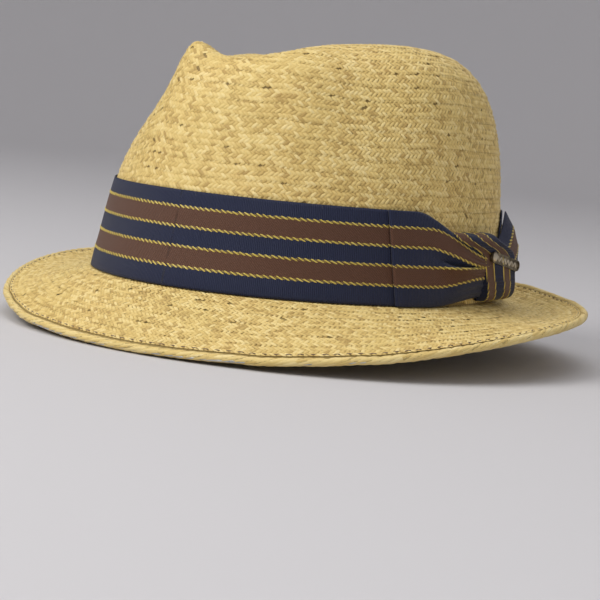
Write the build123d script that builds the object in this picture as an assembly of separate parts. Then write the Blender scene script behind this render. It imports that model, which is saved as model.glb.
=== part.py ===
from build123d import *
import math
import os

# Snap-brim straw fedora, in millimetres.
# Frame: the origin is the centre of the head opening at the headline, where the crown meets the
# brim.  +Z points up to the crown, -Y to the front of the hat, +X to the wearer's left.
# Angles round the hat start at the front and grow towards the wearer's left.

# ---------------------------------------------------------------- driving dimensions
HEAD_LENGTH = 200.0           # inside of the sweatband at the headline, front to back
HEAD_WIDTH = 168.0            # inside of the sweatband at the headline, side to side
SWEATBAND_THICKNESS = 1.0
SWEATBAND_HEIGHT = 32.0
STRAW_THICKNESS = 1.8         # sewn braid
LAY_GAP = 0.1                 # between pieces that lie on each other
SWEATBAND_CLEARANCE = 0.5     # the sweatband is sewn along its lower edge only, and hangs free above

CROWN_HEIGHT = 107.0          # ridge above the headline
CROWN_RISE_BACK = 0.03        # slope of the ridge, rising to the back
CROWN_RISE_LEFT = 0.10        # slope of the ridge, rising to the wearer's left
TIP_LENGTH = 183.0            # length of the crown's blocked top, before its edge is rounded
TIP_WIDTH = 158.0
TIP_SETBACK = 11.0            # the blocked top sits this far behind the opening's centre
FRONT_SQUARENESS = 7.5        # exponent of the crown's profile in front: large is a tight shoulder
BACK_SQUARENESS = 3.5         # the same at the back, which has a round shoulder
FRONT_REACH = 1.5             # exponent: large keeps the tight shoulder to the very front

CREASE_DEPTH = 23.0           # teardrop dent along the middle of the tip
CREASE_FRONT_WIDTH = 15.0     # half-widths of the dent at its front and its back
CREASE_BACK_WIDTH = 26.0
CREASE_FRONT_Y = -60.0
CREASE_BACK_Y = 50.0
CREASE_WIDENS_FROM = -70.0    # the dent grows from its front width to its back width over this run
CREASE_WIDENS_RUN = 120.0
CREASE_FRONT_FADE = 25.0      # lengths over which the dent dies away
CREASE_BACK_FADE = 35.0
TIP_ZONE_START = 0.6          # share of the height above which the dent and the peak work
PINCH_HEIGHT = 92.0           # height of the two finger pinches in front
PINCH_REACH = 30.0            # how far up and down a pinch spreads
LEFT_PINCH_DEPTH = 6.5
LEFT_PINCH_ANGLE = 44.0
LEFT_PINCH_SPREAD = 18.0
RIGHT_PINCH_DEPTH = 16.0
RIGHT_PINCH_ANGLE = -50.0
RIGHT_PINCH_SPREAD = 26.0
PINCH_FADE_IN = 1.3           # a pinch dies away towards the middle of the tip
PINCH_BEARING = 70.0          # the way both pinches push in, from straight back to sideways
PEAK_X = -21.0                # the folded corner that stands up beside the front of the crease
PEAK_Y = -70.0
PEAK_HEIGHT = 11.5
PEAK_SPREAD = 10.0

BRIM_FRONT_WIDTH = 29.5       # widths in plan, from the crown to the outer edge
BRIM_SIDE_WIDTH = 47.8
BRIM_BACK_WIDTH = 29.0
BRIM_EDGE_HARMONICS = (-7.0, -14.7, -3.45, -0.85, 1.1)   # edge height: sum of c[k] * cos(k * angle)
BRIM_SIDE_DIP = 2.5           # how far the brim sags before it curls up, at the sides and back
BRIM_BACK_DIP = 5.0
BRIM_FRONT_BEND = 1.25        # exponent of the slope in front, nearly straight
BRIM_BACK_BEND = 2.6          # the same at the back, where the edge curls up

EDGE_ROLL_RADIUS = 1.7        # turned outer row of braid
WIRE_RADIUS = 0.6             # spring wire inside the turned row
WIRE_CLEARANCE = 0.05
FERRULE_LENGTH = 16.0         # tube that joins the ends of the wire, at the back
FERRULE_WALL = 0.3
FERRULE_PLAY = 1.0            # the ferrule's seat in the turned row is this much longer than it

SNAP_SETOUT = 3.0             # the front brim bends this far in front of the crown
SNAP_GAP = 0.3                # between the front brim and the rest, where it bends

BAND_WIDTH = 40.0             # ribbon
BAND_THICKNESS = 0.8
BAND_LIFT = 0.6               # lower edge of the ribbon above the headline
BAND_JOIN_ANGLE = 101.0       # the ends of the ribbon meet under the bow
BAND_JOIN_GAP = 0.6
STRIP_BULGE = 0.15            # swell of a folded ribbon at mid-height, as a share of its thickness

BOW_WING_START = 62.0         # angle of the front wing's folded edge
BOW_WING_END = 92.9
BOW_WING_THICKNESS = 1.5      # two layers of ribbon at the fold
BOW_WING_PUFF = 3.6           # the same where the wing is gathered
BOW_GATHER_TOP = 12.0         # how far the ribbon is drawn down and up where the knot gathers it
BOW_GATHER_BOTTOM = 3.5
KNOT_START = 93.0
KNOT_END = 109.0
KNOT_HEIGHT = 30.0
KNOT_FRONT_DEPTH = 6.4        # the knot's face turns away from the band towards the back
KNOT_BACK_DEPTH = 11.0
KNOT_SQUARENESS = 3.0         # exponent of its section: 2 is round, large is square
TAIL_START = 109.1
TAIL_END = 122.0
TAIL_THICKNESS = 1.2
TAIL_START_BELLY = 9.0        # how far the middle of the tail stands off the band
TAIL_END_BELLY = 8.0

PIN_LENGTH = 28.0
PIN_WIDTH = 4.8
PIN_THICKNESS = 1.3
PIN_RIM = 0.6                 # raised border of the plate
PIN_RECESS = 0.4              # depth of the plate inside its border
PIN_TILT = -11.0
PIN_ANGLE = 100.6
PIN_HEIGHT = 20.3
PRONG_WIDTH = 2.0
PRONG_THICKNESS = 0.5
PRONG_LENGTH = 3.0
PRONG_SPACING = 16.0
PRONG_CLEARANCE = 0.2

REED_RADIUS = 0.6             # plastic reed that stiffens the sweatband's lower edge
REED_TAPE_WALL = 0.35
REED_CLEARANCE = 0.05
JOIN_BOW_LENGTH = 22.0        # small ribbon bow over the sweatband's rear seam
JOIN_BOW_HEIGHT = 6.0
JOIN_BOW_THICKNESS = 0.8
LABEL_LENGTH = 24.0           # blank size label
LABEL_HEIGHT = 12.0
LABEL_THICKNESS = 0.3
LABEL_ANGLE = 150.0
LABEL_MIDDLE = 16.0           # height of the label's middle above the headline
THREAD_RADIUS = 0.3
TACK_LENGTH = 2.4
TACK_COUNT = 8                # spread over the ribbon outside the bow
TACK_MARGIN_ANGLE = 20.0
SWEATBAND_STITCHES = 60
STITCH_HEIGHT = 1.6           # above the headline

# ---------------------------------------------------------------- derived sizes
STRAW_INNER_A = HEAD_LENGTH / 2 + SWEATBAND_THICKNESS + SWEATBAND_CLEARANCE
STRAW_INNER_B = HEAD_WIDTH / 2 + SWEATBAND_THICKNESS + SWEATBAND_CLEARANCE
OUTER_A = STRAW_INNER_A + STRAW_THICKNESS
OUTER_B = STRAW_INNER_B + STRAW_THICKNESS
SNAP_Y = -(OUTER_A + SNAP_SETOUT)
PIN_HALF_ANGLE = math.degrees(PIN_LENGTH / 2 / OUTER_A)

# ---------------------------------------------------------------- sampling of the curved surfaces
RING_POINTS = 36              # points round one ring of the crown
RING_ANGLES = [360.0 * k / RING_POINTS for k in range(RING_POINTS)]
WALL_RINGS = 4
WALL_TOP = BAND_LIFT + BAND_WIDTH + 2.0
FIRST_TURN_STEP = 5.29         # degrees up the profile from the plain wall's top to the next ring
FIRST_TURN = math.degrees(math.atan2(WALL_TOP, CROWN_HEIGHT)) + FIRST_TURN_STEP
WALL_TURN_LIMIT = 60.0        # degrees up the profile: the wall's points are all below this
WALL_TURN_HALVINGS = 24
PROBE_STEP = 0.5              # degrees, for the slope of the crown's surface
KNOT_POINTS = 24              # points round a section of the knot
TAIL_POINTS = 7               # points up a section of the tail
LAST_TURN = 86.0              # degrees: the small flat button at the middle of the tip
DOME_RINGS = 14
BRIM_SECTIONS = 20            # sections over half the brim
GATHER_SECTIONS = 13          # sections along the bow, its wing, knot and tail, and a small plate
WING_SECTIONS = 8
KNOT_SECTIONS = 5
TAIL_SECTIONS = 5
PLATE_SECTIONS = 5
BRIM_PROFILE_POINTS = 7
SECTION_OVERRUN = 14.0        # degrees past the middle plane, cut off again
BELOW_BASE = 4.0              # how far a cutting core reaches below the headline
FAR = 400.0                   # larger than the hat


def smooth_step(value):
    t = min(1.0, max(0.0, value))
    return t * t * (3 - 2 * t)


def spread(start, end, count):
    return [start + (end - start) * k / (count - 1) for k in range(count)]


def bump(value, centre, spread):
    return math.exp(-(((value - centre) / spread) ** 2))


# ---------------------------------------------------------------- the crown's outer surface
def crown_profile(angle, turn):
    """Share of the width and of the height at turn degrees up the profile."""
    front_share = ((1 + math.cos(math.radians(angle))) / 2) ** FRONT_REACH
    power = BACK_SQUARENESS + (FRONT_SQUARENESS - BACK_SQUARENESS) * front_share
    c, s = math.cos(math.radians(turn)), math.sin(math.radians(turn))
    reach = (abs(c) ** power + abs(s) ** power) ** (-1 / power)
    return reach * c, reach * s


def crown_surface(angle, turn):
    out, up = crown_profile(angle, turn)
    half_length = OUTER_A + (TIP_LENGTH / 2 - OUTER_A) * up
    half_width = OUTER_B + (TIP_WIDTH / 2 - OUTER_B) * up
    setback = TIP_SETBACK * up
    a = math.radians(angle)
    x = half_width * out * math.sin(a)
    y = setback - half_length * out * math.cos(a)
    z = (CROWN_HEIGHT + CROWN_RISE_BACK * y + CROWN_RISE_LEFT * x) * up
    bearing = math.degrees(math.atan2(x, setback - y))
    in_height = bump(z, PINCH_HEIGHT, PINCH_REACH) * min(1.0, PINCH_FADE_IN * out)
    left = LEFT_PINCH_DEPTH * bump(bearing, LEFT_PINCH_ANGLE, LEFT_PINCH_SPREAD) * in_height
    right = RIGHT_PINCH_DEPTH * bump(bearing, RIGHT_PINCH_ANGLE, RIGHT_PINCH_SPREAD) * in_height
    push = math.radians(PINCH_BEARING)
    x += (right - left) * math.sin(push)
    y += (right + left) * math.cos(push)
    on_top = smooth_step((up - TIP_ZONE_START) / (1 - TIP_ZONE_START))
    widening = smooth_step((y - CREASE_WIDENS_FROM) / CREASE_WIDENS_RUN)
    crease_width = CREASE_FRONT_WIDTH + (CREASE_BACK_WIDTH - CREASE_FRONT_WIDTH) * widening
    begins = smooth_step((y - CREASE_FRONT_Y) / CREASE_FRONT_FADE + 1 / 2)
    along = begins * (1 - smooth_step((y - CREASE_BACK_Y) / CREASE_BACK_FADE))
    z -= CREASE_DEPTH * bump(x, 0, crease_width) * along * on_top
    z += PEAK_HEIGHT * bump(x, PEAK_X, PEAK_SPREAD) * bump(y, PEAK_Y, PEAK_SPREAD) * on_top
    return Vector(x, y, z)


def crown_offset(angle, turn, offset):
    """A point that stands off the crown's outer surface; a negative offset is inside."""
    step = PROBE_STEP
    round_way = crown_surface(angle + step, turn) - crown_surface(angle - step, turn)
    up_way = crown_surface(angle, turn + step) - crown_surface(angle, turn - step)
    return crown_surface(angle, turn) + round_way.cross(up_way).normalized() * offset


def ring_wire(points):
    """Closed smooth curve; even parameters keep the surfaces lofted through rings light."""
    even = [k / len(points) for k in range(len(points) + 1)]
    return Wire([Edge.make_spline(points, periodic=True, parameters=even)])


# ---------------------------------------------------------------- upright sections on the wall
def oval_point(angle, z=0.0, grow=0.0):
    a = math.radians(angle)
    return Vector((OUTER_B + grow) * math.sin(a), -(OUTER_A + grow) * math.cos(a), z)


def oval_normal(angle):
    a = math.radians(angle)
    return Vector(OUTER_A * math.sin(a), -OUTER_B * math.cos(a), 0).normalized()


def wall_lean(angle, z):
    """How far the crown's wall stands out from the headline oval at a height."""
    low, high = 0.0, WALL_TURN_LIMIT
    for _ in range(WALL_TURN_HALVINGS):
        middle = (low + high) / 2
        if crown_surface(angle, middle).Z < z:
            low = middle
        else:
            high = middle
    return (crown_surface(angle, low) - oval_point(angle)).dot(oval_normal(angle))


def wall_point(angle, z, offset):
    place = oval_point(angle) + oval_normal(angle) * (wall_lean(angle, z) + offset)
    return Vector(place.X, place.Y, z)


def wall_core(offset, low, high):
    """Everything inside the crown's wall moved out by offset, between two heights."""
    rings = [ring_wire([wall_point(a, z, offset) for a in RING_ANGLES])
             for z in spread(low, high, WALL_RINGS)]
    return Solid.make_loft(rings, ruled=False)


def wall_layer(inside, outside, low, high):
    """A layer of even thickness on the crown's wall between two heights."""
    return wall_core(outside, low, high) - wall_core(inside, low, high)


def upright_strip(angle, low, high, inside, outside):
    """Section of a strip of ribbon that stands on the wall, bulged a little at mid-height."""
    middle = (low + high) / 2
    bulge = (outside - inside) * STRIP_BULGE
    corners = [(low, inside), (low, outside), (middle, outside + bulge), (high, outside),
               (high, inside), (middle, inside)]
    return Wire.make_polygon([wall_point(angle, z, o) for z, o in corners], close=True)


# ---------------------------------------------------------------- the crown as a solid
def button_ring(offset):
    """The small flat button where the braid starts, at the middle of the tip."""
    height = crown_surface(0, 90).Z + offset
    rim = [crown_surface(a, LAST_TURN) for a in RING_ANGLES]
    return ring_wire([Vector(p.X, p.Y, height) for p in rim])


def crown_core(offset, base_z):
    """Everything under the crown's surface moved out by offset, down to a flat base."""
    rings = [ring_wire([wall_point(a, z, offset) for a in RING_ANGLES])
             for z in [base_z] + spread(0.0, WALL_TOP, WALL_RINGS)]
    for turn in spread(FIRST_TURN, LAST_TURN, DOME_RINGS)[:-1]:
        rings.append(ring_wire([crown_offset(a, turn, offset) for a in RING_ANGLES]))
    return Solid.make_loft(rings + [button_ring(offset)], ruled=False)


# ---------------------------------------------------------------- the brim
def brim_widths(angle):
    """Growth of the oval's half-width and half-length from the crown to the brim's edge."""
    towards_front = math.cos(math.radians(angle)) > 0
    return BRIM_SIDE_WIDTH, BRIM_FRONT_WIDTH if towards_front else BRIM_BACK_WIDTH


def brim_edge_height(angle):
    return sum(c * math.cos(k * math.radians(angle)) for k, c in enumerate(BRIM_EDGE_HARMONICS))


def brim_top(angle, share):
    """Top of the brim, at a share of the way from the crown's wall to the edge."""
    a = math.radians(angle)
    side, ahead = brim_widths(angle)
    back_share = (1 - math.cos(a)) / 2
    bend = BRIM_FRONT_BEND + (BRIM_BACK_BEND - BRIM_FRONT_BEND) * back_share
    dip = BRIM_SIDE_DIP * math.sin(a) ** 2 + BRIM_BACK_DIP * back_share ** 2
    z = brim_edge_height(angle) * share ** bend - dip * 4 * share * (1 - share)
    return Vector((OUTER_B + side * share) * math.sin(a), -(OUTER_A + ahead * share) * math.cos(a),
                  z - LAY_GAP)


def brim_section(angle):
    """The brim's section: under the crown's wall, then out to where the turned row starts."""
    side, ahead = brim_widths(angle)
    plan = math.hypot(side * math.sin(math.radians(angle)), ahead * math.cos(math.radians(angle)))
    outer_share = 1 - 2 * EDGE_ROLL_RADIUS / plan
    top = [oval_point(angle, -LAY_GAP, -STRAW_THICKNESS)]
    top += [brim_top(angle, s) for s in spread(0.0, outer_share, BRIM_PROFILE_POINTS)]
    bottom = [Vector(p.X, p.Y, p.Z - STRAW_THICKNESS) for p in reversed(top)]
    under_wall = STRAW_THICKNESS / (STRAW_THICKNESS + BRIM_SIDE_WIDTH)
    outward = [0.0] + spread(under_wall, 1.0, BRIM_PROFILE_POINTS)
    inward = [1.0 - share for share in reversed(outward)]
    return Wire([Edge.make_spline(top, parameters=outward), Edge.make_line(top[-1], bottom[0]),
                 Edge.make_spline(bottom, parameters=inward), Edge.make_line(bottom[-1], top[0])])


def edge_centre(angle):
    """Middle of the turned row, which lies along the edge of the brim."""
    side, ahead = brim_widths(angle)
    plan = math.hypot(side * math.sin(math.radians(angle)), ahead * math.cos(math.radians(angle)))
    point = brim_top(angle, 1 - EDGE_ROLL_RADIUS / plan)
    return Vector(point.X, point.Y, point.Z - STRAW_THICKNESS / 2)


def tube_section(centre, radius):
    """Round section, upright and square to the way round the hat."""
    def section(angle):
        way = centre(angle + 1) - centre(angle - 1)
        return Wire([Edge.make_circle(radius, Plane(origin=centre(angle), z_dir=way))])
    return section


def ring_of(section):
    """A ring that is the same on both sides of the hat's middle plane."""
    angles = spread(-SECTION_OVERRUN, 180 + SECTION_OVERRUN, BRIM_SECTIONS)
    strip = Solid.make_loft([section(a) for a in angles], ruled=False)
    left = strip & (Pos(FAR / 2, 0, 0) * Box(FAR, FAR, FAR))
    return left + left.mirror(Plane.YZ)


def above_headline(shape):
    return shape & (Pos(0, 0, FAR / 2) * Box(FAR, FAR, FAR))


def front_of_snap(shape):
    return shape & (Pos(0, SNAP_Y - SNAP_GAP / 2 - FAR / 2, 0) * Box(FAR, FAR, FAR))


def behind_snap(shape):
    return shape & (Pos(0, SNAP_Y + SNAP_GAP / 2 + FAR / 2, 0) * Box(FAR, FAR, FAR))


# ---------------------------------------------------------------- straw body
def make_crown():
    return above_headline(crown_core(0.0, -BELOW_BASE)) - crown_core(-STRAW_THICKNESS, -2 * BELOW_BASE)


def make_brim():
    return ring_of(brim_section)


def make_edge_row():
    bore = ring_of(tube_section(edge_centre, WIRE_RADIUS + WIRE_CLEARANCE))
    seat = make_ferrule_core(WIRE_RADIUS + FERRULE_WALL + WIRE_CLEARANCE, FERRULE_LENGTH + FERRULE_PLAY)
    return ring_of(tube_section(edge_centre, EDGE_ROLL_RADIUS)) - bore - seat


def make_wire():
    return ring_of(tube_section(edge_centre, WIRE_RADIUS))


def make_ferrule_core(radius, length):
    """Length of tube along the brim's wire at the middle of the back."""
    half_angle = math.degrees(length / 2 / (OUTER_B + BRIM_SIDE_WIDTH))
    sections = [tube_section(edge_centre, radius)(a)
                for a in spread(180 - half_angle, 180 + half_angle, PLATE_SECTIONS)]
    return Solid.make_loft(sections, ruled=False)


def make_ferrule():
    outside = make_ferrule_core(WIRE_RADIUS + FERRULE_WALL, FERRULE_LENGTH)
    return outside - make_ferrule_core(WIRE_RADIUS + WIRE_CLEARANCE / 2, FERRULE_LENGTH + FERRULE_PLAY)


# ---------------------------------------------------------------- ribbon and bow
BAND_OUTSIDE = BAND_THICKNESS + 3 * LAY_GAP


def gather_share(angle):
    """How far the ribbon is drawn together: 0 outside the bow, 1 at the knot."""
    before = (angle - BOW_WING_START) / (BOW_WING_END - BOW_WING_START)
    after = (TAIL_END - angle) / (TAIL_END - TAIL_START)
    return smooth_step(min(before, after))


def ribbon_edges(angle):
    """Heights of the ribbon's lower and upper edge."""
    share = gather_share(angle)
    return BAND_LIFT + BOW_GATHER_BOTTOM * share, BAND_LIFT + BAND_WIDTH - BOW_GATHER_TOP * share


def gather_waste(low_edge, high_edge):
    """Material between two edges all along the bow, to cut off the ribbon."""
    sections = []
    for angle in spread(BOW_WING_START, TAIL_END, GATHER_SECTIONS):
        low, high = low_edge(angle), high_edge(angle)
        sections.append(upright_strip(angle, low, high, -BAND_THICKNESS, 2 * BAND_OUTSIDE))
    return Solid.make_loft(sections, ruled=False)


def make_hat_band():
    outside = wall_core(LAY_GAP + BAND_THICKNESS, BAND_LIFT, BAND_LIFT + BAND_WIDTH)
    ribbon = outside - crown_core(LAY_GAP, -BELOW_BASE)
    ribbon -= gather_waste(lambda a: ribbon_edges(a)[1] + LAY_GAP, lambda a: WALL_TOP)
    ribbon -= gather_waste(lambda a: -BAND_THICKNESS, lambda a: ribbon_edges(a)[0] - LAY_GAP)
    place = oval_point(BAND_JOIN_ANGLE, BAND_WIDTH / 2)
    slot = Plane(origin=place, x_dir=oval_normal(BAND_JOIN_ANGLE), z_dir=(0, 0, 1))
    return ribbon - slot * Box(KNOT_HEIGHT, BAND_JOIN_GAP, 2 * BAND_WIDTH)


def make_bow_front_wing():
    sections = []
    for angle in spread(BOW_WING_START, BOW_WING_END, WING_SECTIONS):
        low, high = ribbon_edges(angle)
        thick = BOW_WING_THICKNESS + (BOW_WING_PUFF - BOW_WING_THICKNESS) * gather_share(angle)
        sections.append(upright_strip(angle, low, high, BAND_OUTSIDE, BAND_OUTSIDE + thick))
    return Solid.make_loft(sections, ruled=False)


def knot_depth(angle):
    share = (angle - KNOT_START) / (KNOT_END - KNOT_START)
    return KNOT_FRONT_DEPTH + (KNOT_BACK_DEPTH - KNOT_FRONT_DEPTH) * share


def knot_section(angle):
    middle = BAND_LIFT + BAND_WIDTH / 2 - (BOW_GATHER_TOP - BOW_GATHER_BOTTOM) / 2
    points = []
    for k in range(KNOT_POINTS):
        a = 2 * math.pi * k / KNOT_POINTS
        c, s = math.cos(a), math.sin(a)
        reach = (abs(c) ** KNOT_SQUARENESS + abs(s) ** KNOT_SQUARENESS) ** (-1 / KNOT_SQUARENESS)
        offset = BAND_OUTSIDE + knot_depth(angle) / 2 * (1 + reach * c)
        points.append(wall_point(angle, middle + KNOT_HEIGHT / 2 * reach * s, offset))
    return ring_wire(points)


def pin_plane():
    """The knot's face under the pin: X runs backwards along the hat, Z points outwards."""
    front, face, rear = (
        wall_point(angle, PIN_HEIGHT, BAND_OUTSIDE + knot_depth(angle) + 2 * LAY_GAP)
        for angle in (PIN_ANGLE - PIN_HALF_ANGLE, PIN_ANGLE, PIN_ANGLE + PIN_HALF_ANGLE))
    backwards = rear - front
    tilt = math.radians(PIN_TILT)
    along = backwards.normalized() * math.cos(tilt) + Vector(0, 0, math.sin(tilt))
    return Plane(origin=face, x_dir=along, z_dir=backwards.cross(Vector(0, 0, 1)))


def prong_places():
    return [-PRONG_SPACING / 2, PRONG_SPACING / 2]


def make_pin_prongs():
    prongs = [pin_plane() * Pos(x, 0, -PRONG_LENGTH / 2) * Box(PRONG_THICKNESS, PRONG_WIDTH, PRONG_LENGTH)
              for x in prong_places()]
    return Compound(children=prongs)


def make_bow_knot():
    sections = [knot_section(a) for a in spread(KNOT_START, KNOT_END, KNOT_SECTIONS)]
    knot = Solid.make_loft(sections, ruled=False)
    for x in prong_places():
        slot = Box(PRONG_THICKNESS + 2 * PRONG_CLEARANCE, PRONG_WIDTH + 2 * PRONG_CLEARANCE,
                   2 * (PRONG_LENGTH + PRONG_CLEARANCE))
        knot = knot - pin_plane() * Pos(x, 0, 0) * slot
    return knot


def make_pin_bar():
    plate = extrude(SlotOverall(PIN_LENGTH, PIN_WIDTH), PIN_THICKNESS)
    recess = extrude(SlotOverall(PIN_LENGTH - 2 * PIN_RIM, PIN_WIDTH - 2 * PIN_RIM), PIN_THICKNESS)
    return pin_plane() * (plate - Pos(0, 0, PIN_THICKNESS - PIN_RECESS) * recess)


def tail_section(angle):
    """The tail stands on its two edges, and its middle swells out."""
    low, high = ribbon_edges(angle)
    share = (angle - TAIL_START) / (TAIL_END - TAIL_START)
    belly = TAIL_START_BELLY + (TAIL_END_BELLY - TAIL_START_BELLY) * share
    inner, outer = [], []
    for up in spread(-1.0, 1.0, TAIL_POINTS):
        z = (low + high) / 2 + up * (high - low) / 2
        offset = BAND_OUTSIDE + belly * (1 - up * up)
        inner.append(wall_point(angle, z, offset))
        outer.append(wall_point(angle, z, offset + TAIL_THICKNESS))
    return Wire.make_polygon(inner + outer[::-1], close=True)


def make_bow_back_wing():
    sections = [tail_section(a) for a in spread(TAIL_START, TAIL_END, TAIL_SECTIONS)]
    return Solid.make_loft(sections, ruled=False)


# ---------------------------------------------------------------- inside the head opening
REED_TAPE_RADIUS = REED_RADIUS + REED_CLEARANCE + REED_TAPE_WALL


def reed_centre(angle):
    return oval_point(angle, -REED_TAPE_RADIUS, -(STRAW_THICKNESS + LAY_GAP + REED_TAPE_RADIUS))


def make_reed():
    return ring_of(tube_section(reed_centre, REED_RADIUS))


def make_reed_tape():
    bore = ring_of(tube_section(reed_centre, REED_RADIUS + REED_CLEARANCE))
    return ring_of(tube_section(reed_centre, REED_TAPE_RADIUS)) - bore


def make_sweatband():
    outside = -(STRAW_THICKNESS + SWEATBAND_CLEARANCE)
    return wall_layer(outside - SWEATBAND_THICKNESS, outside, LAY_GAP, SWEATBAND_HEIGHT)


INSIDE_FACE = -(STRAW_THICKNESS + SWEATBAND_CLEARANCE + SWEATBAND_THICKNESS + LAY_GAP)


def inside_plate(angle, height, length, tall, thick):
    """Thin plate that lies on the inner face of the sweatband, bent to follow it."""
    half_angle = math.degrees(length / 2 / OUTER_B)
    sections = [upright_strip(a, height - tall / 2, height + tall / 2, INSIDE_FACE, INSIDE_FACE - thick)
                for a in spread(angle - half_angle, angle + half_angle, PLATE_SECTIONS)]
    return Solid.make_loft(sections, ruled=False)


def make_size_label():
    return inside_plate(LABEL_ANGLE, LABEL_MIDDLE, LABEL_LENGTH, LABEL_HEIGHT, LABEL_THICKNESS)


def make_sweatband_bow():
    return inside_plate(180.0, JOIN_BOW_HEIGHT, JOIN_BOW_LENGTH, JOIN_BOW_HEIGHT, JOIN_BOW_THICKNESS)


# ---------------------------------------------------------------- thread
def stitch(place, way, length):
    return Plane(origin=place, z_dir=way) * Cylinder(THREAD_RADIUS, length)


def make_band_tacks():
    """Short upright stitches that hold the ribbon's upper edge to the crown."""
    tacks = []
    for angle in spread(TAIL_END + TACK_MARGIN_ANGLE, 360 + BOW_WING_START - TACK_MARGIN_ANGLE, TACK_COUNT):
        place = wall_point(angle, BAND_LIFT + BAND_WIDTH - TACK_LENGTH / 2,
                           BAND_OUTSIDE + THREAD_RADIUS + 2 * LAY_GAP)
        tacks.append(stitch(place, Vector(0, 0, 1), TACK_LENGTH))
    return Compound(children=tacks)


def make_sweatband_stitches():
    """Stitches that hold the sweatband to the straw, just above the reed."""
    stitches = []
    for k in range(SWEATBAND_STITCHES):
        angle = 360.0 * (k + 0.5) / SWEATBAND_STITCHES
        place = wall_point(angle, STITCH_HEIGHT, INSIDE_FACE - THREAD_RADIUS)
        stitches.append(stitch(place, oval_normal(angle).cross(Vector(0, 0, 1)), TACK_LENGTH))
    return Compound(children=stitches)


def build():
    brim, edge_row, wire = make_brim(), make_edge_row(), make_wire()
    return {
        "straw_crown": make_crown(),
        "brim_main": behind_snap(brim),
        "brim_front": front_of_snap(brim),
        "edge_row_main": behind_snap(edge_row),
        "edge_row_front": front_of_snap(edge_row),
        "brim_wire_main": behind_snap(wire),
        "brim_wire_front": front_of_snap(wire),
        "wire_ferrule": make_ferrule(),
        "hat_band": make_hat_band(),
        "band_tacks": make_band_tacks(),
        "bow_front_wing": make_bow_front_wing(),
        "bow_knot": make_bow_knot(),
        "bow_back_wing": make_bow_back_wing(),
        "pin_bar": make_pin_bar(),
        "pin_prongs": make_pin_prongs(),
        "sweatband": make_sweatband(),
        "sweatband_stitches": make_sweatband_stitches(),
        "sweatband_bow": make_sweatband_bow(),
        "reed_tape": make_reed_tape(),
        "reed": make_reed(),
        "size_label": make_size_label(),
    }


os.makedirs("parts", exist_ok=True)
for node, shape in build().items():
    export_step(shape, f"parts/{node}.step")
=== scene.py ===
import math

import bpy
import numpy as np
from mathutils import Matrix, Vector
from mathutils.bvhtree import BVHTree


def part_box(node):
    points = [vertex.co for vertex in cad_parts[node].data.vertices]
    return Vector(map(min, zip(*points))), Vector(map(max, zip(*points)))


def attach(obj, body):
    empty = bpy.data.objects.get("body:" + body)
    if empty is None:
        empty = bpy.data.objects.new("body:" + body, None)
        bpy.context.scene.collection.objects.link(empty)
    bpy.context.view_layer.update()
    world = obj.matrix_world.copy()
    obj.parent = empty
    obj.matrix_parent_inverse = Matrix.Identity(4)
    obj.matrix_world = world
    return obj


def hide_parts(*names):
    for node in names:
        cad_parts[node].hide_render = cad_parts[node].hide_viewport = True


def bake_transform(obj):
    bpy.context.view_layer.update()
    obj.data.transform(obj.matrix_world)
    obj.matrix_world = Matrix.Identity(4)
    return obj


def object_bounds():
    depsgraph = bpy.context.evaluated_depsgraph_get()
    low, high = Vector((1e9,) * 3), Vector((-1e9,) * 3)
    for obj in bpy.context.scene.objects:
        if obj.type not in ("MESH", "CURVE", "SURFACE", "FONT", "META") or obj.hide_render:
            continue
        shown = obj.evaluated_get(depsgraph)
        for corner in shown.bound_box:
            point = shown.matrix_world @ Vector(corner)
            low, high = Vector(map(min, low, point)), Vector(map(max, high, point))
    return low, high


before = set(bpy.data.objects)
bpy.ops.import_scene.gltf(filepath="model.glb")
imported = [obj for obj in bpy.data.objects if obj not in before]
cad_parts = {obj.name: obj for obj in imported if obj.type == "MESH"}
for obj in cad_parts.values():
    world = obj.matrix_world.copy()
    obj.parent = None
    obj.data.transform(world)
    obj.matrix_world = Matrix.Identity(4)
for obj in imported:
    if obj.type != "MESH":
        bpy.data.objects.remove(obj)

# Straw fedora.  Everything is in metres in the CAD frame: +Z up, front of the hat -Y, wearer's
# left +X.  Angles round the hat start at the front and grow towards the wearer's left.
MM = 0.001
cad_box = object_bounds()
rng = np.random.default_rng(7)

# ---------------------------------------------------------------- sizes read from the frame
crown_lo, crown_hi = (np.array(corner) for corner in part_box("straw_crown"))
brim_lo, brim_hi = (np.array(corner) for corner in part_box("edge_row_main"))
front_lo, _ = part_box("edge_row_front")
band_lo, band_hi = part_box("hat_band")
OVAL_A = -crown_lo[1]                 # half-length and half-width of the straw at the headline
OVAL_B = crown_hi[0]
BRIM_B = brim_hi[0]
BRIM_FRONT = -front_lo[1]
BRIM_BACK = brim_hi[1]
BAND_Z0, BAND_Z1 = band_lo[2], band_hi[2]

BRAID = 7.3 * MM                      # width of one row of braid
STRANDS = 7                           # half-diagonals of the plait across a row
BAND_OFF = 1.5 * MM                   # middle of the ribbon off the crown's wall
EDGE_RADIUS = 1.7 * MM
RIBBON = 40 * MM                      # width of the ribbon
ROUND = 360                           # samples round the hat in every map


# ---------------------------------------------------------------- mesh helpers
def tree_of(*names):
    points, faces, start = [], [], 0
    for name in names:
        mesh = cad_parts[name].data
        points += [v.co.copy() for v in mesh.vertices]
        faces += [[start + i for i in p.vertices] for p in mesh.polygons]
        start = len(points)
    return BVHTree.FromPolygons(points, faces)


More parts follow.
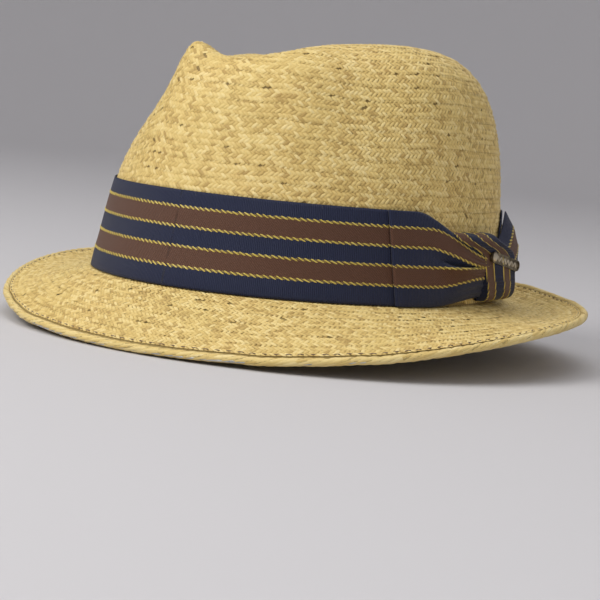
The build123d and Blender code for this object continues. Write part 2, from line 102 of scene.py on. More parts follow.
def mesh_object(name, points, quads, material, tone=None, uv=None, smooth=True):
    """An object from arrays: points (n, 3), quads (m, 4), a tone and a uv pair per point."""
    mesh = bpy.data.meshes.new(name)
    quads = np.asarray(quads, dtype=np.int32)
    mesh.vertices.add(len(points))
    mesh.vertices.foreach_set("co", np.asarray(points, dtype=np.float32).ravel())
    mesh.loops.add(quads.size)
    mesh.loops.foreach_set("vertex_index", quads.ravel())
    mesh.polygons.add(len(quads))
    mesh.polygons.foreach_set("loop_start", np.arange(0, quads.size, 4, dtype=np.int32))
    mesh.update(calc_edges=True)
    mesh.validate()
    mesh.polygons.foreach_set("use_smooth", np.full(len(mesh.polygons), smooth))
    if tone is not None:
        layer = mesh.attributes.new("tone", "FLOAT", "POINT")
        layer.data.foreach_set("value", np.asarray(tone, dtype=np.float32))
    if uv is not None:
        layer = mesh.uv_layers.new(name="cloth")
        corner = np.asarray(uv, dtype=np.float32)[quads.ravel()]
        layer.data.foreach_set("uv", corner.ravel())
    obj = bpy.data.objects.new(name, mesh)
    bpy.context.scene.collection.objects.link(obj)
    mesh.materials.append(material)
    return obj


def grid_quads(rows, columns, wrap=False, wrap_columns=False):
    """Quads of a grid stored row by row; it can be closed in either direction."""
    r, c = np.meshgrid(np.arange(rows if wrap else rows - 1),
                       np.arange(columns if wrap_columns else columns - 1), indexing="ij")
    r2, c2 = (r + 1) % rows, (c + 1) % columns
    quads = np.stack([r * columns + c, r2 * columns + c, r2 * columns + c2, r * columns + c2], -1)
    return quads.reshape(-1, 4)


def copies(quads, count, points_each):
    """The quads of one patch, repeated for a number of patches stored one after another."""
    starts = (np.arange(count) * points_each)[:, None, None]
    return (quads[None] + starts).reshape(-1, 4)


def unit(v):
    return v / np.maximum(np.linalg.norm(v, axis=-1, keepdims=True), 1e-12)


def ease(t):
    t = np.clip(t, 0.0, 1.0)
    return t * t * (3 - 2 * t)


# ---------------------------------------------------------------- maps of the CAD surfaces
class SurfaceMap:
    """A surface sampled on a grid: a runs round the hat from 0 to 1, v from its first edge to its last."""

    def __init__(self, points, outward):
        self.points = points
        self.na, self.nv = points.shape[:2]
        da = np.roll(points, -1, 0) - np.roll(points, 1, 0)
        dv = np.gradient(points, axis=1)
        normal = unit(np.cross(da, dv))
        if (normal * outward).sum() < 0:
            normal = -normal
        normal[:, -1] = normal[:, -3].mean(0)
        self.normals = unit(normal)

    def at(self, a, v, lift=0.0):
        a = np.mod(a, 1.0) * self.na
        v = np.clip(v, 0.0, 1.0) * (self.nv - 1)
        i, j = np.floor(a).astype(int) % self.na, np.minimum(v.astype(int), self.nv - 2)
        fa, fv = (a - np.floor(a))[..., None], (v - j)[..., None]
        k = (i + 1) % self.na

        def mix(grid):
            return ((grid[i, j] * (1 - fa) + grid[k, j] * fa) * (1 - fv)
                    + (grid[i, j + 1] * (1 - fa) + grid[k, j + 1] * fa) * fv)
        return mix(self.points) + unit(mix(self.normals)) * np.asarray(lift)[..., None]

    def length_round(self, v):
        a = np.arange(self.na) / self.na
        p = self.at(a, np.full(self.na, v))
        return np.linalg.norm(np.roll(p, -1, 0) - p, axis=1)


def even_rows(lines, count):
    """Each line of points, resampled at even lengths along it."""
    out = []
    for line in lines:
        step = np.linalg.norm(np.diff(line, axis=0), axis=1)
        along = np.concatenate([[0.0], np.cumsum(step)])
        want = np.linspace(0, along[-1], count)
        out.append(np.stack([np.interp(want, along, line[:, k]) for k in range(3)], -1))
    return np.array(out)


def smooth_round(points, passes):
    for _ in range(passes):
        points = (np.roll(points, 1, 0) + 2 * points + np.roll(points, -1, 0)) / 4
    return points


CROWN_EYE = Vector((0.0, 8 * MM, 35 * MM))    # a point inside the crown that sees all of its inner face
RAY_START = 0.3                               # rays towards the eye start this far off, outside the hat


def crown_map(tree, low, inside=False):
    """A map of the crown from a height upwards, seen from outside or from the eye inside."""
    lines = []
    for k in range(ROUND):
        t = math.radians(k)
        line = []
        for e in np.radians(np.linspace(-30, 90, 170)):
            way = Vector((math.sin(t) * math.cos(e), -math.cos(t) * math.cos(e), math.sin(e)))
            if inside:
                hit = tree.ray_cast(CROWN_EYE, way)[0]
            else:
                hit = tree.ray_cast(CROWN_EYE + way * RAY_START, -way, RAY_START)[0]
            if hit is not None and hit.z >= low:
                line.append(hit[:])
        lines.append(np.array(line))
    points = smooth_round(even_rows(lines, 240), 2)
    outward = points - np.array(CROWN_EYE)
    return SurfaceMap(points, -outward if inside else outward)


def oval(a, grow_b, grow_front, grow_back):
    """Point of the oval at the headline, grown by these amounts at the side, front and back."""
    t = 2 * np.pi * a
    ahead = np.where(np.cos(t) > 0, grow_front, grow_back)
    return (OVAL_B + grow_b) * np.sin(t), -(OVAL_A + ahead) * np.cos(t)


def brim_map(tree, upward):
    """v runs from the turned row at the edge to the crown's wall."""
    lines = []
    for k in range(ROUND):
        a = k / ROUND
        share = np.linspace(1.0, 0.0, 60)
        x, y = oval(a, (BRIM_B - OVAL_B) * share, (BRIM_FRONT - OVAL_A) * share,
                    (BRIM_BACK - OVAL_A) * share)
        line = []
        for px, py in zip(x, y):
            start = Vector((px, py, 0.1 if upward else -0.1))
            hit = tree.ray_cast(start, Vector((0, 0, -1 if upward else 1)))[0]
            if hit is not None:
                line.append(hit[:])
        lines.append(np.array(line))
    points = smooth_round(even_rows(lines, 60), 3)
    up = np.zeros_like(points)
    up[..., 2] = 1 if upward else -1
    return SurfaceMap(points, up)


crown_tree = tree_of("straw_crown")
brim_tree = tree_of("brim_main", "brim_front")
crown_out = crown_map(crown_tree, 0.5 * MM)
crown_in = crown_map(crown_tree, 27 * MM, inside=True)
brim_top = brim_map(brim_tree, True)
brim_under = brim_map(brim_tree, False)


# ---------------------------------------------------------------- the crown's wall, for the ribbon
WALL_Z = np.linspace(0.5 * MM, 46 * MM, 24)


def wall_leans():
    """How far the wall stands off the headline's oval, by angle and height."""
    leans = np.zeros((ROUND, len(WALL_Z)))
    for k in range(ROUND):
        t = math.radians(k)
        base = Vector((OVAL_B * math.sin(t), -OVAL_A * math.cos(t), 0))
        n = Vector((OVAL_A * math.sin(t), -OVAL_B * math.cos(t), 0)).normalized()
        for j, z in enumerate(WALL_Z):
            start = base + n * 0.04 + Vector((0, 0, z))
            hit = crown_tree.ray_cast(start, -n)[0]
            leans[k, j] = (hit - base).dot(n)
    return leans


LEANS = wall_leans()


def wall(angle, z, off):
    """Points off the crown's wall; angle in degrees, z and off in metres, as arrays."""
    angle, z, off = np.broadcast_arrays(angle, z, off)
    a = np.mod(angle, 360.0)
    i = np.floor(a).astype(int) % ROUND
    f = a - np.floor(a)
    zz = np.clip((z - WALL_Z[0]) / (WALL_Z[1] - WALL_Z[0]), 0, len(WALL_Z) - 1.001)
    j = zz.astype(int)
    g = zz - j
    k = (i + 1) % ROUND
    lower = LEANS[i, j] * (1 - f) + LEANS[k, j] * f
    upper = LEANS[i, j + 1] * (1 - f) + LEANS[k, j + 1] * f
    lean = lower * (1 - g) + upper * g
    t = np.radians(angle)
    n = unit(np.stack([OVAL_A * np.sin(t), -OVAL_B * np.cos(t), 0 * t], -1))
    base = np.stack([OVAL_B * np.sin(t), -OVAL_A * np.cos(t), z], -1)
    return base + n * (lean + off)[..., None]


# ---------------------------------------------------------------- materials
def new_material(name):
    material = bpy.data.materials.new(name)
    material.use_nodes = True
    nodes, links = material.node_tree.nodes, material.node_tree.links
    return material, nodes, links, nodes["Principled BSDF"]


def node(nodes, kind, **values):
    made = nodes.new(kind)
    for key, value in values.items():
        if key in made.inputs:
            made.inputs[key].default_value = value
        else:
            setattr(made, key, value)
    return made


def math_node(nodes, links, operation, first, second=None):
    made = node(nodes, "ShaderNodeMath", operation=operation)
    for socket, value in zip(made.inputs, (first, second)):
        if value is None:
            continue
        if isinstance(value, (int, float)):
            socket.default_value = value
        else:
            links.new(value, socket)
    return made.outputs[0]


def ramp(nodes, links, source, stops, interpolation="LINEAR"):
    made = nodes.new("ShaderNodeValToRGB")
    made.color_ramp.interpolation = interpolation
    while len(made.color_ramp.elements) < len(stops):
        made.color_ramp.elements.new(0.5)
    for element, (position, colour) in zip(made.color_ramp.elements, stops):
        element.position = position
        element.color = (*colour, 1.0)
    links.new(source, made.inputs["Fac"])
    return made.outputs["Color"]


def noise(nodes, links, source, scale, detail=2.0, roughness=0.5):
    made = node(nodes, "ShaderNodeTexNoise", Scale=scale, Detail=detail, Roughness=roughness)
    links.new(source, made.inputs["Vector"])
    return made.outputs["Fac"]


def blend_colour(nodes, links, factor, first, second, mode="MIX"):
    made = node(nodes, "ShaderNodeMix", data_type="RGBA", blend_type=mode)
    for socket, value in ((made.inputs[0], factor), (made.inputs[6], first), (made.inputs[7], second)):
        if isinstance(value, (int, float)):
            socket.default_value = value
        elif isinstance(value, tuple):
            socket.default_value = (*value, 1.0)
        else:
            links.new(value, socket)
    return made.outputs[2]


def bump(nodes, links, shader, height, distance, strength=1.0):
    made = node(nodes, "ShaderNodeBump", Strength=strength, Distance=distance)
    links.new(height, made.inputs["Height"])
    links.new(made.outputs["Normal"], shader.inputs["Normal"])


def straw_material(name, darken=1.0):
    """Bleached straw: each strand has its own tone, with fibres along it and stains over many rows. Its
    lowest tones are painted shade at the strands' rims, and darken below 1 gives a copy in painted shade.
    """
    material, nodes, links, shader = new_material(name)
    place = nodes.new("ShaderNodeTexCoord").outputs["Object"]
    tone = node(nodes, "ShaderNodeAttribute", attribute_name="tone").outputs["Fac"]
    strand = ramp(nodes, links, tone, [
        (0.0, (0.44 * darken, 0.275 * darken, 0.085 * darken)),
        (0.25, (0.66 * darken, 0.46 * darken, 0.155 * darken)),
        (0.6, (0.80 * darken, 0.60 * darken, 0.235 * darken)),
        (1.0, (0.90 * darken, 0.73 * darken, 0.36 * darken))])
    patches = noise(nodes, links, place, 38.0, 3.0)
    stained = blend_colour(nodes, links, math_node(nodes, links, "MULTIPLY", patches, 0.45), strand,
                           (0.62 * darken, 0.49 * darken, 0.15 * darken))
    specks = noise(nodes, links, place, 900.0, 2.0, 0.7)
    speck_mask = ramp(nodes, links, specks, [(0.60, (0, 0, 0)), (0.72, (1, 1, 1))])
    colour = blend_colour(nodes, links, math_node(nodes, links, "MULTIPLY", speck_mask, 0.35), stained,
                          (0.42 * darken, 0.29 * darken, 0.12 * darken))
    links.new(colour, shader.inputs["Base Color"])
    gloss = math_node(nodes, links, "MULTIPLY_ADD", noise(nodes, links, place, 220.0), 0.25)
    gloss.node.inputs[2].default_value = 0.42
    links.new(gloss, shader.inputs["Roughness"])
    shader.inputs["Specular IOR Level"].default_value = 0.35
    shader.inputs["Sheen Weight"].default_value = 0.08
    bump(nodes, links, shader, noise(nodes, links, place, 1500.0, 3.0, 0.7), 0.12 * MM, 0.6)
    return material


NAVY = (0.0105, 0.0155, 0.045)
BROWN = (0.098, 0.043, 0.024)
CORD_LINES = (0.213, 0.421, 0.625, 0.828)     # places of the yellow cords across the ribbon
STRIPES = tuple(zip((0.0, *CORD_LINES), (NAVY, BROWN, NAVY, BROWN, NAVY)))
RIB_PITCH_MM, TWILL_PITCH_MM = 0.85, 1.15


def ribbon_material():
    """Striped grosgrain: ribs across the navy, a fine twill on the brown, both bumped and painted darker in
    their troughs as painted shade.
    """
    material, nodes, links, shader = new_material("striped_ribbon")
    split = nodes.new("ShaderNodeSeparateXYZ")
    uv = node(nodes, "ShaderNodeUVMap", uv_map="cloth").outputs["UV"]
    links.new(uv, split.inputs[0])
    along, across = split.outputs[0], split.outputs[1]
    stripes = ramp(nodes, links, across, STRIPES, "CONSTANT")
    weaves = [(place, (1, 1, 1) if colour == BROWN else (0, 0, 0)) for place, colour in STRIPES]
    is_brown = ramp(nodes, links, across, weaves, "CONSTANT")
    width_mm = RIBBON / MM
    rib_turns = math_node(nodes, links, "MULTIPLY", along, 2 * math.pi * width_mm / RIB_PITCH_MM)
    rib = math_node(nodes, links, "SINE", rib_turns)
    slant = math_node(nodes, links, "ADD", math_node(nodes, links, "MULTIPLY", across, width_mm),
                      math_node(nodes, links, "MULTIPLY", along, width_mm))
    twill_turns = math_node(nodes, links, "MULTIPLY", slant, 2 * math.pi / TWILL_PITCH_MM)
    twill = math_node(nodes, links, "SINE", twill_turns)
    weave = node(nodes, "ShaderNodeMix", data_type="FLOAT")
    links.new(is_brown, weave.inputs[0])
    links.new(rib, weave.inputs[2])
    links.new(twill, weave.inputs[3])
    height = weave.outputs[0]
    thread = noise(nodes, links, uv, 420.0, 2.0, 0.8)
    # Painted shade: the stripes' colour is scaled by the ribs and twill, lighter on their crests and darker
    # in their troughs; the thread noise adds tone.
    shade = math_node(nodes, links, "MULTIPLY_ADD", height, 0.17)
    shade.node.inputs[2].default_value = 0.86
    shade = math_node(nodes, links, "ADD", shade, math_node(nodes, links, "MULTIPLY", thread, 0.35))
    tint = node(nodes, "ShaderNodeVectorMath", operation="SCALE")
    links.new(stripes, tint.inputs[0])
    links.new(shade, tint.inputs["Scale"])
    links.new(tint.outputs[0], shader.inputs["Base Color"])
    shader.inputs["Roughness"].default_value = 0.62
    shader.inputs["Specular IOR Level"].default_value = 0.3
    shader.inputs["Sheen Weight"].default_value = 0.12
    shader.inputs["Sheen Roughness"].default_value = 0.4
    total = math_node(nodes, links, "ADD", height, math_node(nodes, links, "MULTIPLY", thread, 0.8))
    bump(nodes, links, shader, total, 0.09 * MM, 0.8)
    return material


def cord_material():
    """Yellow rayon cord woven into the ribbon; its low tones are painted shade where it dips."""
    material, nodes, links, shader = new_material("yellow_cord")
    place = nodes.new("ShaderNodeTexCoord").outputs["Object"]
    tone = node(nodes, "ShaderNodeAttribute", attribute_name="tone").outputs["Fac"]
    colour = ramp(nodes, links, tone, [(0.0, (0.10, 0.055, 0.02)), (0.35, (0.36, 0.25, 0.03)),
                                       (0.7, (0.62, 0.47, 0.07)), (1.0, (0.74, 0.60, 0.14))])
    fibres = noise(nodes, links, place, 2600.0, 2.0)
    factor = math_node(nodes, links, "MULTIPLY", fibres, 0.35)
    mixed = blend_colour(nodes, links, factor, colour, (0.40, 0.29, 0.05))
    links.new(mixed, shader.inputs["Base Color"])
    shader.inputs["Roughness"].default_value = 0.45
    shader.inputs["Sheen Weight"].default_value = 0.1
    bump(nodes, links, shader, fibres, 0.06 * MM, 0.5)
    return material


def plain_cloth(name, colour, scale, rough=0.75):
    """Matt cloth or thread with fine diagonal waves and some fuzz; the waves are bumped and painted lighter
    on their crests as painted light.
    """
    material, nodes, links, shader = new_material(name)
    place = nodes.new("ShaderNodeTexCoord").outputs["Object"]
    waves = node(nodes, "ShaderNodeTexWave", Scale=scale, Distortion=0.6, bands_direction="DIAGONAL")
    links.new(place, waves.inputs["Vector"])
    fuzz = noise(nodes, links, place, 900.0, 3.0, 0.7)
    # Painted light: the colour goes lighter on the waves' crests; the fuzz adds tone.
    light = tuple(min(1.0, c * 1.9 + 0.02) for c in colour)
    both = math_node(nodes, links, "ADD", waves.outputs["Fac"], fuzz)
    factor = math_node(nodes, links, "MULTIPLY", both, 0.4)
    links.new(blend_colour(nodes, links, factor, colour, light), shader.inputs["Base Color"])
    shader.inputs["Roughness"].default_value = rough
    shader.inputs["Sheen Weight"].default_value = 0.2
    bump(nodes, links, shader, waves.outputs["Fac"], 0.12 * MM, 0.7)
    return material


def metal_material(name, dark, bright, wear):
    """Metal with a patina that is worn through in places."""
    material, nodes, links, shader = new_material(name)
    place = nodes.new("ShaderNodeTexCoord").outputs["Object"]
    stain = noise(nodes, links, place, 320.0, 4.0, 0.65)
    mask = ramp(nodes, links, stain, [(wear - 0.12, (0, 0, 0)), (wear + 0.15, (1, 1, 1))])
    links.new(blend_colour(nodes, links, mask, dark, bright), shader.inputs["Base Color"])
    rough = math_node(nodes, links, "MULTIPLY_ADD", stain, 0.35)
    rough.node.inputs[2].default_value = 0.22
    links.new(rough, shader.inputs["Roughness"])
    shader.inputs["Metallic"].default_value = 0.9
    bump(nodes, links, shader, noise(nodes, links, place, 1400.0, 3.0), 0.05 * MM, 0.5)
    return material


straw = straw_material("straw")
# A darker copy of the straw, as painted shade, for the straw seen between and under the strands.
straw_in_painted_shade = straw_material("straw_ground_in_painted_shade", 0.62)
ribbon = ribbon_material()
cord = cord_material()
thread_brown = plain_cloth("brown_thread", (0.16, 0.10, 0.05), 3000.0)
thread_navy = plain_cloth("navy_thread", (0.013, 0.017, 0.045), 3000.0)
cotton_black = plain_cloth("black_cotton", (0.022, 0.020, 0.020), 1400.0)
satin_black = plain_cloth("black_satin", (0.012, 0.011, 0.012), 2600.0, 0.42)
cloth_label = plain_cloth("label_cloth", (0.55, 0.53, 0.48), 2200.0)
brass = metal_material("antique_brass", (0.085, 0.065, 0.035), (0.36, 0.30, 0.19), 0.52)
brass_bright = metal_material("worn_brass", (0.30, 0.25, 0.16), (0.62, 0.55, 0.42), 0.40)
steel = metal_material("spring_steel", (0.25, 0.25, 0.25), (0.6, 0.6, 0.6), 0.4)


# ---------------------------------------------------------------- straw braid
PATCH_COLUMNS = 3                     # points across one strand


def strand_patch(half_long, half_wide, along_points=4):
    """A bulged strand, as offsets along and across it and a height: 0 at its rim, 1 in the middle."""
    lng = np.linspace(-1, 1, along_points)
    wide = np.linspace(-1, 1, PATCH_COLUMNS)
    l, w = np.meshgrid(lng, wide, indexing="ij")
    height = (1 - 0.85 * w ** 2) * (1 - 0.85 * np.abs(l) ** 3)
    narrow = 1 - 0.22 * l ** 2
    return l.ravel() * half_long, (w * narrow).ravel() * half_wide, height.ravel()


MISSING_AT_SEAM, MISSING = 3 * 0.012, 0.3 * 0.012      # shares of strands that are left out


def braid_rows(surface, rows, v_start, v_end):
    """Centres of all strands of the plait: arrays of a, v, direction, tone, place in the row."""
    found = []
    step_v = (v_end - v_start) / rows
    for row in range(rows):
        v0 = v_start + row * step_v
        round_steps = surface.length_round(min(v0 + 0.5 * step_v, 0.995))
        total = round_steps.sum()
        along = np.concatenate([[0], np.cumsum(round_steps)]) / total
        unit_length = BRAID / STRANDS
        count = max(6, int(round(total / (2 * unit_length))))
        shift = rng.random()
        for band in range(4):
            s = (np.arange(count) + shift + 0.5 * band) / count
            a = np.interp(np.mod(s, 1.0), along, np.arange(surface.na + 1) / surface.na)
            across = (2 * band + 1) / STRANDS
            found.append(np.stack([
                a, np.full(count, v0 + step_v * across), np.full(count, 1.0 if band % 2 else -1.0),
                np.full(count, across), np.full(count, total), np.full(count, step_v)], -1))
    cells = np.concatenate(found)
    keep = rng.random(len(cells)) > np.where(cells[:, 3] > 0.8, MISSING_AT_SEAM, MISSING)
    return cells[keep]


def strands_object(name, surface, cells, material, lift, lip, height, along_points=4):
    """Strands as small bulged patches on the surface, laid like shingles from row to row."""
    w = BRAID / STRANDS * math.sqrt(2)
    lng, wide, rise = strand_patch(1.16 * w, 0.53 * w, along_points)
    n, m = len(cells), len(lng)
    a, v, way, across, total, step_v = (cells[:, k][:, None] for k in range(6))
    turn = np.radians(45) * way + rng.normal(0, 0.06, (n, 1))
    size = 1 + rng.normal(0, 0.04, (n, 1))
    ds = (lng * np.cos(turn) - wide * np.sin(turn)) * size
    dt = (lng * np.sin(turn) + wide * np.cos(turn)) * size
    aa = a + ds / total
    vv = v + dt / BRAID * step_v
    in_row = np.clip(across + dt / BRAID, -0.1, 1.1)
    up = lift + lip * (1 - in_row) + height * rise + rng.normal(0, 0.04 * MM, (n, 1))
    points = surface.at(aa, vv, up).reshape(-1, 3)
    quads = copies(grid_quads(along_points, PATCH_COLUMNS), n, m)
    # Each strand gets a random tone, lower towards its rim: painted shade where it dips under its neighbours.
    tone = np.repeat(np.clip(rng.normal(0.60, 0.27, n), 0, 1), m) - 0.34 * (1 - np.tile(rise, n))
    obj = mesh_object(name, points, quads, material, tone=np.clip(tone, 0, 1))
    return obj


CROWN_ROWS, INSIDE_ROWS, BRIM_ROWS = 27, 20, 6
HIDDEN_TOP, HIDDEN_BOTTOM = 16 * MM, 7 * MM    # strands this far inside the ribbon's edges aren't seen
crown_cells = braid_rows(crown_out, CROWN_ROWS, 0.0, 0.985)
cell_z = crown_out.at(crown_cells[:, 0], crown_cells[:, 1])[:, 2]
bare = (cell_z > BAND_Z1 - HIDDEN_TOP) | (cell_z < BAND_Z0 + HIDDEN_BOTTOM)
crown_cells = crown_cells[bare]
split_v = crown_cells[:, 1] < 0.5
for name, mask in (("crown_braid_side", split_v), ("crown_braid_top", ~split_v)):
    piece = strands_object(name, crown_out, crown_cells[mask], straw, 0.12 * MM, 0.28 * MM, 0.50 * MM)
    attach(piece, "hat")
inside_cells = braid_rows(crown_in, INSIDE_ROWS, 0.0, 0.98)
piece = strands_object("crown_braid_inside", crown_in, inside_cells, straw, 0.05 * MM, 0.3 * MM, 0.35 * MM, 3)
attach(piece, "hat")


def over_the_snap(obj):
    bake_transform(obj)


top_cells = braid_rows(brim_top, BRIM_ROWS, 0.0, 0.985)
brim_braid = strands_object("brim_braid_top", brim_top, top_cells, straw, 0.10 * MM, 0.30 * MM, 0.50 * MM)
over_the_snap(brim_braid)
under_cells = braid_rows(brim_under, BRIM_ROWS, 0.0, 0.97)
under_braid = strands_object("brim_braid_under", brim_under, under_cells, straw, 0.08 * MM, 0.30 * MM,
                             0.48 * MM)
over_the_snap(under_braid)


def brim_ground():
    """The straw between and under the strands, in the darker straw and a low tone as painted shade: one
    closed sheet from the top map and the under map.
    """
    a = np.arange(ROUND) / ROUND
    shares = np.linspace(-0.02, 1.0, 30)
    grid_a, grid_v = np.meshgrid(a, shares, indexing="ij")
    top = brim_top.at(grid_a, grid_v, np.full(grid_a.shape, -0.1 * MM))
    low = brim_under.at(grid_a, grid_v, np.full(grid_a.shape, -0.1 * MM))[:, ::-1]
    points = np.concatenate([top, low], 1)
    quads = grid_quads(ROUND, points.shape[1], wrap=True, wrap_columns=True)
    obj = mesh_object("brim_ground", points.reshape(-1, 3), quads, straw_in_painted_shade,
                      tone=np.full(points.shape[0] * points.shape[1], 0.3))
    return obj


ground = brim_ground()
over_the_snap(ground)
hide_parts("brim_main", "brim_front")


# ---------------------------------------------------------------- turned row at the brim's edge
def edge_line(a):
    """Middle of the turned row: outside the brim's map, along its edge."""
    outer = brim_top.at(a, np.zeros_like(a))
    under = brim_under.at(a, np.zeros_like(a))
    inner = brim_top.at(a, np.full_like(a, 0.08))
    way = unit(outer - inner)
    return (outer + under) / 2 + way * EDGE_RADIUS, way


def edge_points(a, turn, radius):
    """turn is the angle round the turned row: 0 points away from the hat, 90 up."""
    middle, out = edge_line(a)
    ahead, _ = edge_line(a + 0.002)
    up = unit(np.cross(unit(ahead - middle), out))
    up = up * np.sign(up[..., 2:3])
    turn = np.radians(turn)[..., None]
    return middle + (out * np.cos(turn) + up * np.sin(turn)) * np.asarray(radius)[..., None]


EDGE_SIDES = 12
EDGE_LANES, LANE_TURN = 7, 50         # strands round the turned row, and degrees from one to the next
EDGE_LENGTH, EDGE_PITCH = 820 * MM, 5.2 * MM
STRAND_POINTS = 6


def edge_ground():
    """The solid straw under the strands of the turned row, in the darker straw and a low tone as painted
    shade.
    """
    turns = np.arange(EDGE_SIDES) * 360.0 / EDGE_SIDES
    a, turn = np.meshgrid(np.arange(ROUND) / ROUND, turns, indexing="ij")
    points = edge_points(a, turn, np.full(a.shape, EDGE_RADIUS - 0.25 * MM))
    quads = grid_quads(ROUND, EDGE_SIDES, wrap=True, wrap_columns=True)
    obj = mesh_object("edge_ground", points.reshape(-1, 3), quads, straw_in_painted_shade,
                      tone=np.full(points.size // 3, 0.35))
    return obj


def edge_strands():
    """Long strands that wrap slowly round the turned row, each tucked under the next."""
    count = int(EDGE_LENGTH / EDGE_PITCH)
    lng, wide, rise = strand_patch(5.0 * MM, 0.78 * MM, STRAND_POINTS)
    points, tones = [], []
    for lane in range(EDGE_LANES):
        turn0 = -150 + lane * LANE_TURN + rng.normal(0, 4, (count, 1))
        a0 = ((np.arange(count) + rng.random() + rng.normal(0, 0.06, count)) / count)[:, None]
        lean = 0.30 + rng.normal(0, 0.04, (count, 1))
        ds = lng * np.cos(lean) - wide * np.sin(lean)
        dt = lng * np.sin(lean) + wide * np.cos(lean)
        a = a0 + ds / EDGE_LENGTH
        turn = turn0 + np.degrees(dt / EDGE_RADIUS)
        bulge = 0.42 * MM * rise[None, :]
        radius = EDGE_RADIUS - 0.30 * MM + bulge + rng.normal(0, 0.05 * MM, (count, 1))
        points.append(edge_points(a, turn, np.broadcast_to(radius, a.shape)).reshape(-1, 3))
        tones.append(np.repeat(np.clip(rng.normal(0.66, 0.2, count), 0, 1), len(lng)))
    points = np.concatenate(points)
    quads = copies(grid_quads(STRAND_POINTS, PATCH_COLUMNS), len(points) // len(lng), len(lng))
    obj = mesh_object("edge_strands", points, quads, straw, tone=np.concatenate(tones))
    return obj


edge_base = edge_ground()
over_the_snap(edge_base)
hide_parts("edge_row_main", "edge_row_front")
over_the_snap(edge_strands())


STITCH_LENGTH, STITCH_GAP, STITCH_RADIUS = 3.2 * MM, 1.6 * MM, 0.28 * MM
STITCH_LINE = 0.02                    # place of the stitches across the brim, as a share
STITCH_RINGS, STITCH_SIDES = 5, 6


def edge_stitches(name, surface, lift):
    """A row of sewn stitches that follows the brim's edge and bends with it."""
    total = surface.length_round(STITCH_LINE).sum()
    count = int(total / (STITCH_LENGTH + STITCH_GAP))
    s = np.linspace(-1, 1, STITCH_RINGS)
    ring = np.linspace(0, 2 * np.pi, STITCH_SIDES + 1)[:-1]
    starts = (np.arange(count) / count)[:, None, None]
    a = starts + (s * STITCH_LENGTH / 2 / total)[None, :, None] + 0 * ring
    fat = (STITCH_RADIUS * np.sqrt(np.clip(1 - s ** 4, 0.02, 1)))[None, :, None]
    high = lift + STITCH_RADIUS * 0.8 * (1 - s ** 2)[None, :, None] + fat * np.sin(ring)
    side = fat * np.cos(ring) / (BRAID * BRIM_ROWS)
    points = surface.at(a, np.broadcast_to(STITCH_LINE + side, a.shape), np.broadcast_to(high, a.shape))
    one = grid_quads(STITCH_RINGS, STITCH_SIDES, wrap_columns=True)[:, [0, 3, 2, 1]]
    quads = copies(one, count, STITCH_RINGS * STITCH_SIDES)
    obj = mesh_object(name, points.reshape(-1, 3), quads, thread_brown)
    over_the_snap(obj)


edge_stitches("edge_stitches", brim_top, 0.5 * MM)
edge_stitches("edge_stitches_under", brim_under, 0.45 * MM)


# ---------------------------------------------------------------- ribbon pieces
def ribbon_frame(place, u, v):
    """Position and outward normal of a ribbon at u, v."""
    d = 1e-3
    p = place(u, v)
    pu = place(u + d, v) - place(u - d, v)
    pv = place(u, v + d) - place(u, v - d)
    return p, unit(np.cross(pu, pv))


def ribbon_sheet(name, place, length, nu, nv=33, thick=0.5 * MM, closed=False, material=None):
    """A ribbon from place(u, v), both 0 to 1, with thickness and uv in ribbon widths."""
    u = np.arange(nu) / nu if closed else np.linspace(0, 1, nu)
    v = np.linspace(0, 1, nv)
    gu, gv = np.meshgrid(u, v, indexing="ij")
    p, n = ribbon_frame(place, gu, gv)
    outer, inner = p + n * thick / 2, p - n * thick / 2
    points = np.concatenate([outer, inner[:, ::-1]], 1)
    uv_outer = np.stack([gu * length / RIBBON, gv], -1)
    uv = np.concatenate([uv_outer, uv_outer[:, ::-1]], 1)
    quads = grid_quads(nu, points.shape[1], wrap=closed, wrap_columns=True)
    if not closed:
        columns = points.shape[1]
        for row in (0, nu - 1):
            first = row * columns
            for j in range(nv - 1):
                cap = [first + j, first + j + 1, first + 2 * nv - 2 - j, first + 2 * nv - 1 - j]
                quads = np.concatenate([quads, [cap if row == 0 else cap[::-1]]])
    return mesh_object(name, points.reshape(-1, 3), quads, material or ribbon, uv=uv.reshape(-1, 2))


CORD_PITCH = 2.9 * MM
CORD_LEAN = math.radians(24)
CORD_POINTS = 5
# Half-length, half-width, rise and tone of a bright turn of the cord and of the lower turn beside it, whose
# dark tone is painted shade.
CORD_TURNS = ((1.95 * MM, 0.40 * MM, 0.38 * MM, 0.84), (1.6 * MM, 0.34 * MM, 0.22 * MM, 0.22))


